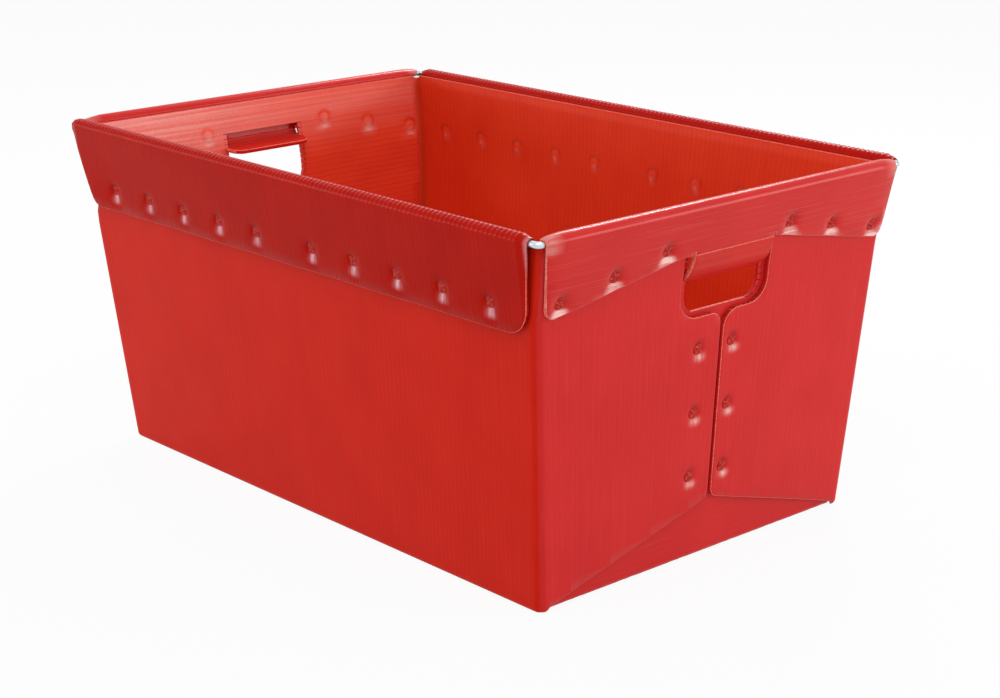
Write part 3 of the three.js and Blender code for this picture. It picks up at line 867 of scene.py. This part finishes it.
class HemPath:
    """Section of a hem: over the wire, then down a straight leg. s runs along its middle."""

    def __init__(self, rim, foot, foot_z):
        run = rim + WIRE_CLEAR - foot
        self.rim = rim
        self.slope = math.atan2(run, RIM_Z - foot_z)
        self.arc = BEND * (math.pi + self.slope)

    def point(self, s, w):
        """Distance out from the tote's middle, and height."""
        angle = math.pi - np.clip(s, 0, self.arc) / BEND
        down = np.clip(s - self.arc, 0, None)
        out = self.rim + (BEND + w) * np.cos(angle) - down * math.sin(self.slope)
        height = RIM_Z + (BEND + w) * np.sin(angle) - down * math.cos(self.slope)
        return out, height

    def at(self, z):
        """s of the leg's point at height z."""
        return self.arc + (RIM_Z - BEND * math.sin(self.slope) - z) / math.cos(self.slope)


end_hem = HemPath(WIRE_X, FLAP_X + GAP + END_LEAN, END_HEM_Z)
side_hem = HemPath(WIRE_Y, WALL_Y + GAP + SIDE_LEAN, SIDE_HEM_Z)


def melt_plug(name, centre, outward, radius, spin, turned):
    """Lumpy disc of remelted plastic with a pressed cross, on a weld's floor."""
    rings, spokes = 9, 40
    angle = np.arange(spokes) * 2 * math.pi / spokes
    noise = RANDOM.normal(size=(rings + 1, spokes))
    r = radius * np.linspace(0.0, 1.0, rings + 1)[1:, None] * np.ones(spokes)
    theta = np.tile(angle, (rings, 1))
    wave = sum(np.cos(k * theta + RANDOM.uniform(0, 6.28)) * RANDOM.normal(0, 0.14) for k in (2, 3, 5))
    r = r * (1 + 0.10 * wave * (r / radius))
    a, b = r * np.cos(theta), r * np.sin(theta)
    c, d = a * math.cos(spin) + b * math.sin(spin), b * math.cos(spin) - a * math.sin(spin)
    cross = np.exp(-(c / 0.55) ** 2) + np.exp(-(d / 0.55) ** 2)
    lip = np.exp(-((r - 0.8 * radius) / 0.6) ** 2)
    reach = r / radius
    height = 0.2 + np.clip(cross, 0, 1) * (1 - reach ** 3) + 0.5 * lip + 0.5 * (1 - reach ** 2)
    height += 0.16 * noise[1:] * (1 - reach ** 4)
    height[-1] = -0.8
    points = [[0, 0, 1.4]]
    marks = [1.0]
    for i in range(rings):
        points += np.column_stack([a[i], b[i], height[i]]).tolist()
        marks += np.clip(cross[i], 0, 1).tolist()
    points.append([0, 0, -0.9])
    marks.append(0.0)
    faces = [(0, 1 + j, 1 + (j + 1) % spokes) for j in range(spokes)]
    for i in range(rings - 1):
        for j in range(spokes):
            k = (j + 1) % spokes
            here, there = 1 + i * spokes, 1 + (i + 1) * spokes
            faces.append((here + j, there + j, there + k, here + k))
    last = 1 + (rings - 1) * spokes
    faces += [(len(points) - 1, last + (j + 1) % spokes, last + j) for j in range(spokes)]
    out = np.array(outward) / np.linalg.norm(outward)
    side = np.cross((0, 0, 1), out)
    side /= np.linalg.norm(side)
    rise = np.cross(out, side)
    points = np.array(centre) + np.array(points) @ np.array([side, rise, out])
    if turned:
        points = points * HALF_TURN
    piece = make_mesh(name, points, faces, [melted], [0] * len(faces))
    mark(piece, "wear_and_painted_light", marks)
    return piece


def seat_plug(node, seat, outward, radius, turned):
    """Puts the remelted plug of a weld in its seat."""
    spin = RANDOM.uniform(0.3, 1.2)
    plug = melt_plug(node.replace("weld", "melt"), seat, outward, radius, spin, turned)
    stand_for(plug, "weld_plastic", node)


def build_side_hem(side, turned):
    welds = weld_centres(f"{side}_hem_weld", turned)
    centres = np.array([(c[0], side_hem.at(c[2])) for _, c in welds])
    close = near_welds(centres)
    near, far, foot = WIRE_X - 8, WIRE_X - 3.4, WIRE_X - 16
    far_foot, far_r = foot, 22
    if side == "front":
        far, far_foot, far_r = WIRE_X + 4.6, WIRE_X - 21, 13
    shoulder, low = side_hem.at(RIM_Z - WIRE_CLEAR), side_hem.at(SIDE_HEM_Z)
    outline = [(-far + 2.5, 0), (near - 1.5, 0), (near, 4), (near, shoulder), (foot, low, 22),
               (-far_foot, low, far_r), (-far, shoulder), (-far, 4)]
    arc = side_hem.arc

    def place(a, s, w):
        out, height = side_hem.point(s, w)
        return np.column_stack([a, -out, height])

    def keep(a, l):
        return close(a, l) | (l < arc + 1)

    def edge_wave(a, l):
        return 0.35 * np.sin(a / 17.0 + 1.3) * smooth((l - low + 22) / 22)

    def outer(a, l):
        da, dl = nearest(a, l, centres)
        ridge = SAG + 0.5 * smooth(1 - np.abs(l - 0.55 * arc) / (0.5 * arc))
        pinch = 1.7 * (smooth((a - near + 9) / 8) + smooth((-a - far + 9) / 8))
        return SHEET / 2 - flute_wave(a, ridge) - crater(da, -dl, 2.0) + edge_wave(a, l) - pinch

    def inner(a, l):
        da, dl = nearest(a, l, centres)
        return -SHEET / 2 + flute_wave(a) - 0.25 * crater(da, -dl, 2.0) + edge_wave(a, l)

    # Painted light: pale painted highlights fanning out below each weld, painted shade on its upper rim, and
    # a dotted painted glint along the bend. The hem is also paler at its near end.
    def wear_and_painted_light(a, l):
        da, dl = nearest(a, l, centres)
        below = smooth((dl - 2) / 3) * (1 - smooth((dl - 8) / 5))
        highlight_fan = np.exp(-((da - 0.8) / (2.2 + 0.2 * np.clip(dl, 0, 20))) ** 2)
        ends = smooth((a - WIRE_X + 12) / 4) * (1 - smooth((l - arc - 8) / 20))
        rim = np.exp(-((da / 4.6) ** 2 + ((dl + 5.2) / 2.2) ** 2))
        glint = np.exp(-((l - 0.42 * arc) / 1.0) ** 2) * (np.cos(2 * math.pi * a / PITCH) < -0.5)
        return np.clip(0.85 * below * highlight_fan + 0.4 * ends + 0.75 * glint, 0, 1) - 0.5 * rim

    rows = np.concatenate([np.arange(BEND_ROW, low, ROW), np.arange(ROW, arc, ROW)])
    rows = np.unique(np.round(rows, 3))
    coarse = np.arange(len(rows)) % 8 == 0
    piece = make_sheet(f"{side}_hem_sheet", [rounded(outline)], place, rows, coarse, keep, outer, inner, wear_and_painted_light,
                       [side_hem_shaded_red, cut_edge], turned=turned, settle=hem_flare if side == "front" else None)
    stand_for(piece, "hem_plastic", f"{side}_rim_hem")
    outward = (0, -math.cos(side_hem.slope), -math.sin(side_hem.slope))
    for (node, _), (a, s) in zip(welds, centres):
        out, height = side_hem.point(s, SHEET / 2 - 2.5)
        seat_plug(node, (a, -out, height), outward, 5.0, turned)


def build_end_hem(end, turned):
    welds = weld_centres(f"{end}_hem_weld", turned)
    centres = np.array([(end_hem.at(c[2]), c[1]) for _, c in welds])
    close = near_welds(centres)
    near, far, foot = WIRE_Y - 3.8, WIRE_Y - 7.0, WIRE_Y - 11.7
    shoulder, low = end_hem.at(RIM_Z - WIRE_CLEAR), end_hem.at(END_HEM_Z)
    flat = end_hem.at(HINGE_Z)
    left, right = HANDLE_Y - HOLE_HALF, HANDLE_Y + HOLE_HALF
    notch = flat - 3
    outline = [(0, -near + 2), (4, -near), (shoulder, -near), (low, -foot, 9), (flat, -END_HEM_FLAT),
               (flat, left), (notch, left), (notch, left + TONGUE_GAP), (flat, left + TONGUE_GAP),
               (flat, right - TONGUE_GAP), (notch, right - TONGUE_GAP), (notch, right), (flat, right + 1.5),
               (low, foot, 9), (shoulder, far), (4, far), (0, far - 2)]
    arc = end_hem.arc

    def place(a, l, w):
        out, height = end_hem.point(a, w)
        return np.column_stack([out, l, height])

    def dent(a, l):
        ds, dy = nearest(a, l, centres)
        return crater(dy, -ds, depth=2.6, wide=6.4, tall_down=9.0, tall_up=6.0)

    def outer(a, l):
        pinch = 1.7 * (smooth((-l - near + 9) / 8) + smooth((l - far + 9) / 8))
        return SHEET / 2 - flute_wave(a, 0.09) * smooth((a - arc) / 6) - dent(a, l) - pinch

    def inner(a, l):
        return -SHEET / 2 + flute_wave(a) - 0.3 * dent(a, l)

    # Painted light: pale painted highlights fanning out below each weld and painted shade on its upper rim.
    # The hem is also paler at its ends, and the scuff near one end is whitened plastic.
    def wear_and_painted_light(a, l):
        ds, dy = nearest(a, l, centres)
        below = smooth((ds - 3) / 3) * (1 - 0.75 * smooth((ds - 7) / 7))
        highlight_fan = np.exp(-(dy / (3.6 + 0.55 * np.clip(ds, 0, 20))) ** 4)
        ends = smooth((np.abs(l) - (WIRE_Y - 14)) / 6) * (1 - smooth((a - arc - 2) / 8))
        rim = np.exp(-((dy / 4.8) ** 2 + ((ds + 5.6) / 2.3) ** 2))
        scuff = np.exp(-((l - far + 5) / 5) ** 2 - ((a - low + 5) / 5) ** 2)
        return np.clip(0.95 * below * highlight_fan + 0.35 * ends + 0.9 * scuff, 0, 1) - 0.55 * rim

    rows, coarse = rows_between(-190.0, 190.0, 9)
    piece = make_sheet(f"{end}_hem_sheet", [rounded(outline)], place, rows, coarse, close, outer, inner, wear_and_painted_light,
                       [end_hem_sheen_red, cut_edge], np.arange(BEND_ROW, arc + 1, BEND_ROW), turned, sealed=True)
    stand_for(piece, "hem_plastic", f"{end}_rim_hem")
    outward = (math.cos(end_hem.slope), 0, -math.sin(end_hem.slope))
    for (node, _), (s, y) in zip(welds, centres):
        out, height = end_hem.point(s, SHEET / 2 - 3.0)
        seat_plug(node, (out, y, height), outward, 5.2, turned)
    tilt = math.atan2(END_LEAN, END_CREASE)
    outward = (math.cos(tilt), 0, -math.sin(tilt))
    for node, (_, y, z) in weld_centres(f"{end}_slit_weld", turned):
        seat_plug(node, (FLAP_X + float(lean_x(z)) - 1.5, y, z), outward, 4.8, turned)


# ---- Grip tongues ------------------------------------------------------------------------------

def build_tongue(end, bend, ease, turned):
    """Tongue that carries the end hem on inward through the hand hole."""
    half, length, root = HOLE_HALF - TONGUE_GAP, 29.0, 11.0
    steps = np.linspace(0, length, 117)
    start = end_hem.slope
    lean_in = start + (bend - start) * smooth(steps / ease)
    size = steps[1]
    xs = np.concatenate([[0], np.cumsum(-np.sin(lean_in[:-1]) * size)])
    zs = np.concatenate([[0], np.cumsum(-np.cos(lean_in[:-1]) * size)])
    root_x, root_z = end_hem.point(end_hem.at(HINGE_Z), 0.0)

    def place(a, l, w):
        s = np.clip(a, 0, length)
        angle = np.interp(s, steps, lean_in)
        x = root_x + np.interp(s, steps, xs) + w * np.cos(angle)
        z = root_z + np.interp(s, steps, zs) - w * np.sin(angle)
        return np.column_stack([x, HANDLE_Y + l, z])

    outline = [(0.05, -half), (length, -half, 11), (length, half, 11), (0.05, half)]
    rows, coarse = rows_between(-half, half, 4)
    piece = make_sheet(f"{end}_tongue_sheet", [rounded(outline)], place, rows, coarse, nowhere,
                       lambda a, l: SHEET / 2 - flute_wave(a, 0.09) * smooth((a - 14) / 5),
                       lambda a, l: -SHEET / 2 + flute_wave(a),
                       # A painted sheen pales the tongue near its root.
                       lambda a, l: 0.05 * smooth((15 - a) / 4),
                       [tongue_red, cut_edge], np.arange(BEND_ROW, length, BEND_ROW), turned, sealed=True)
    reach = place(np.array([root]), np.array([0.0]), np.array([0.0]))[0]
    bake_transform(piece)
    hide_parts(f"{end}_grip_tongue")


# ---- Rim wire ----------------------------------------------------------------------------------

def build_wire():
    """Steel wire round the rim, its ends meeting at the middle of the back."""
    bend, sides, turns, butt = 4.0, 24, 12, 0.5
    girth = 0.0157  # once round the wire, in metres
    route = [(butt, WIRE_Y, 0.0)]
    x, y = WIRE_X - bend, WIRE_Y - bend
    for cx, cy, begin in ((x, y, 90), (x, -y, 0), (-x, -y, -90), (-x, y, 180)):
        for k in range(turns + 1):
            angle = math.radians(begin - 90 * k / turns)
            route.append((cx + bend * math.cos(angle), cy + bend * math.sin(angle), angle - math.pi / 2))
    route.append((-butt, WIRE_Y, 0.0))
    points, marks, run = [], [], 0.0
    for i, (px, py, heading) in enumerate(route):
        if i:
            run += math.hypot(px - route[i - 1][0], py - route[i - 1][1])
        middle = np.array([px, py, RIM_Z])
        left = np.array([-math.sin(heading), math.cos(heading), 0])
        for k in range(sides):
            angle = 2 * math.pi * k / sides
            points.append(middle + WIRE_R * (math.cos(angle) * left + np.array([0, 0, math.sin(angle)])))
            marks.append((k / sides * girth, run * MM, 0))
    faces = []
    for i in range(len(route) - 1):
        for k in range(sides):
            n = (k + 1) % sides
            faces.append((i * sides + k, i * sides + n, (i + 1) * sides + n, (i + 1) * sides + k))
    faces.append(tuple(range(sides))[::-1])
    faces.append(tuple((len(route) - 1) * sides + k for k in range(sides)))
    piece = make_mesh("rim_wire_round", points, faces, [steel], [0] * len(faces))
    mark(piece, "sheet", marks, "FLOAT_VECTOR")
    stand_for(piece, "rim_steel", "rim_wire")


build_wall("front", "right", "left", False)
build_wall("back", "left", "right", True)
build_end("right", False)
build_end("left", True)
build_floor()
build_side_hem("front", False)
build_side_hem("back", True)
build_end_hem("right", False)
build_end_hem("left", True)
build_tongue("right", math.radians(50), 26, False)
build_tongue("left", math.radians(84), 9, True)
build_wire()

# ---- Stage -------------------------------------------------------------------------------------

def stage_floor():
    paint = new_material("studio_floor")
    grain = paint.noise(paint.node("ShaderNodeTexCoord", output=3), 40, 2.0)
    white = paint.mix(grain * 0.2, (0.8, 0.8, 0.8, 1), (0.79, 0.79, 0.79, 1))
    matt = paint.node("ShaderNodeBsdfDiffuse", {}, {"Color": white})
    glow = paint.node("ShaderNodeEmission", {}, {"Color": (1, 1, 1, 1), "Strength": 1.0})
    surface = paint.node("ShaderNodeMixShader", {}, {0: paint.seen_directly() * 0.93, 1: matt, 2: glow})
    reach, drop = 12.0, 0.0005
    mesh = bpy.data.meshes.new("studio_floor")
    square = [(-reach, -reach, 0), (reach, -reach, 0), (reach, reach, 0), (-reach, reach, 0)]
    mesh.from_pydata(square, [], [(0, 1, 2, 3)])
    mesh.materials.append(paint.finish(surface))
    floor = bpy.data.objects.new("studio_floor", mesh)
    floor.location.z = -drop
    bpy.context.scene.collection.objects.link(floor)


def stage_world(ambient):
    """White where it is seen, and an even light of the given strength otherwise."""
    paint = Paint(bpy.data.worlds.new("studio"))
    strength = paint.seen_directly() * (1 - ambient) + ambient
    light = paint.node("ShaderNodeBackground", {}, {"Color": (1, 1, 1, 1), "Strength": strength})
    bpy.context.scene.world = paint.finish(light, "ShaderNodeOutputWorld")


def softbox(name, place, size, watts, aim=(0, 0, 0.14)):
    lamp = bpy.data.lights.new(name, "AREA")
    lamp.shape = "RECTANGLE"
    lamp.size, lamp.size_y = size
    lamp.energy = watts
    holder = bpy.data.objects.new(name, lamp)
    holder.location = place
    holder.rotation_mode = "QUATERNION"
    holder.rotation_quaternion = (Vector(aim) - Vector(place)).to_track_quat("-Z", "Y")
    bpy.context.scene.collection.objects.link(holder)


stage_floor()
stage_world(0.62)
softbox("high_front", (0.9, -0.9, 2.0), (1.4, 1.4), 14)
softbox("right_back", (1.8, 1.45, 0.62), (1.0, 0.6), 14)
softbox("left_front", (-1.7, -1.5, 0.6), (0.8, 0.5), 8)
softbox("back_strip", (-0.77, 1.39, 1.5), (0.7, 0.14), 16, (0.29, 0, 0.28))
softbox("left_strip", (-1.6, 0.1, 1.6), (0.3, 0.2), 2, (0, -0.19, 0.28))

# ---- Camera ------------------------------------------------------------------------------------
AZIMUTH, ELEVATION, ROLL = (math.radians(v) for v in (48.5846, 16.9771, -0.519))
EYE = (1.2829, -1.0981, 0.6208)
SENSOR = 36.0
camera_data = bpy.data.cameras.new("camera")
camera_data.sensor_width = SENSOR
camera_data.lens = 2.1133 * SENSOR
camera_data.clip_start = 0.01
camera = bpy.data.objects.new("camera", camera_data)
bpy.context.scene.collection.objects.link(camera)
ahead = Vector((-math.sin(AZIMUTH) * math.cos(ELEVATION), math.cos(AZIMUTH) * math.cos(ELEVATION),
                -math.sin(ELEVATION)))
camera.location = EYE
camera.rotation_mode = "QUATERNION"
camera.rotation_quaternion = ahead.to_track_quat("-Z", "Y") @ Matrix.Rotation(ROLL, 3, "Z").to_quaternion()
bpy.context.scene.camera = camera
bpy.context.scene.view_settings.view_transform = "Standard"
